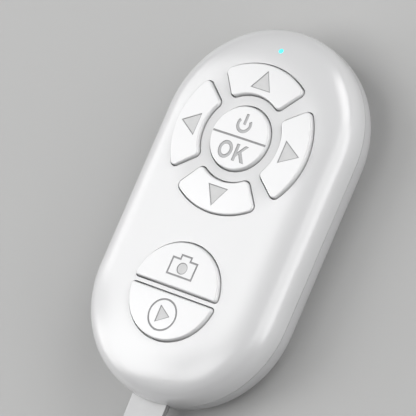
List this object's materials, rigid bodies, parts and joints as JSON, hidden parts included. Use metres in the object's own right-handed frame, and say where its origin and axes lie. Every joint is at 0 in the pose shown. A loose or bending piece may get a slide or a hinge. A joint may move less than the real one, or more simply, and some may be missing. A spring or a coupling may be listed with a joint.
{
  "type": "wireless camera shutter remote",
  "caption": "Pocket oval remote with raised keys that fires a phone camera, fed by a coin cell behind a twist-off door, with a wrist strap.",
  "frame": {"origin": "under the middle of the body, in the plane of its flat back", "axes": "+Z out of the keys, +Y along the body to the end with the status light, +X to the right seen from the front"},
  "size_m": [0.0501, 0.1746, 0.0126],
  "materials": {
    "casing": "satin gloss white",
    "keycaps": "gloss white",
    "strap": "smooth light grey",
    "steel": "rolled",
    "spring_metal": "plated",
    "board": "solder mask",
    "copper": "plated copper",
    "dark_plastic": "moulded black",
    "cell_metal": "nickel plated",
    "clear_plastic": "clear",
    "ceramic": "fired ceramic"
  },
  "bodies": {
    "casing": {"top_shell": "casing", "bottom_shell": "casing", "coin_cell": "cell_metal", "battery_cradle": "dark_plastic", "positive_contact": "spring_metal", "negative_contact": "spring_metal", "circuit_board": "board", "board_screws": "steel", "bluetooth_chip": "dark_plastic", "crystal": "steel", "small_parts": "ceramic", "antenna_trace": "copper", "status_light": "clear_plastic", "light_guide": "clear_plastic", "strap_pin": "steel", "wrist_strap": "strap", "switch_bases": "dark_plastic", "switch_covers": "steel", "dome_up": "steel", "dome_left": "steel", "dome_down": "steel", "dome_right": "steel", "dome_ok": "steel", "dome_shutter": "steel", "dome_play": "steel"},
    "door": {"battery_door": "casing"},
    "up_key": {"key_up": "keycaps", "stem_up": "dark_plastic"},
    "left_key": {"key_left": "keycaps", "stem_left": "dark_plastic"},
    "down_key": {"key_down": "keycaps", "stem_down": "dark_plastic"},
    "right_key": {"key_right": "keycaps", "stem_right": "dark_plastic"},
    "ok_key": {"key_ok": "keycaps", "stem_ok": "dark_plastic"},
    "shutter_key": {"key_shutter": "keycaps", "stem_shutter": "dark_plastic"},
    "play_key": {"key_play": "keycaps", "stem_play": "dark_plastic"}
  },
  "joints": [
    {"name": "press_up", "type": "slide", "parent": "casing", "child": "up_key", "axis": [0, 0, -1], "range_m": [0, 0.0003], "stiffness_N_per_m": 1500, "springref_m": -0.0003, "deforming": ["dome_up"]},
    {"name": "press_left", "type": "slide", "parent": "casing", "child": "left_key", "axis": [0, 0, -1], "range_m": [0, 0.0003], "stiffness_N_per_m": 1500, "springref_m": -0.0003, "deforming": ["dome_left"]},
    {"name": "press_down", "type": "slide", "parent": "casing", "child": "down_key", "axis": [0, 0, -1], "range_m": [0, 0.0003], "stiffness_N_per_m": 1500, "springref_m": -0.0003, "deforming": ["dome_down"]},
    {"name": "press_right", "type": "slide", "parent": "casing", "child": "right_key", "axis": [0, 0, -1], "range_m": [0, 0.0003], "stiffness_N_per_m": 1500, "springref_m": -0.0003, "deforming": ["dome_right"]},
    {"name": "press_ok", "type": "slide", "parent": "casing", "child": "ok_key", "axis": [0, 0, -1], "range_m": [0, 0.0003], "stiffness_N_per_m": 1500, "springref_m": -0.0003, "deforming": ["dome_ok"]},
    {"name": "press_shutter", "type": "slide", "parent": "casing", "child": "shutter_key", "axis": [0, 0, -1], "range_m": [0, 0.0003], "stiffness_N_per_m": 1500, "springref_m": -0.0003, "deforming": ["dome_shutter"]},
    {"name": "press_play", "type": "slide", "parent": "casing", "child": "play_key", "axis": [0, 0, -1], "range_m": [0, 0.0003], "stiffness_N_per_m": 1500, "springref_m": -0.0003, "deforming": ["dome_play"]},
    {"name": "door_turn", "type": "hinge", "parent": "casing", "child": "door", "pos_m": [0, 0, 0.001], "axis": [0, 0, -1], "range_deg": [0, 35]}
  ]
}
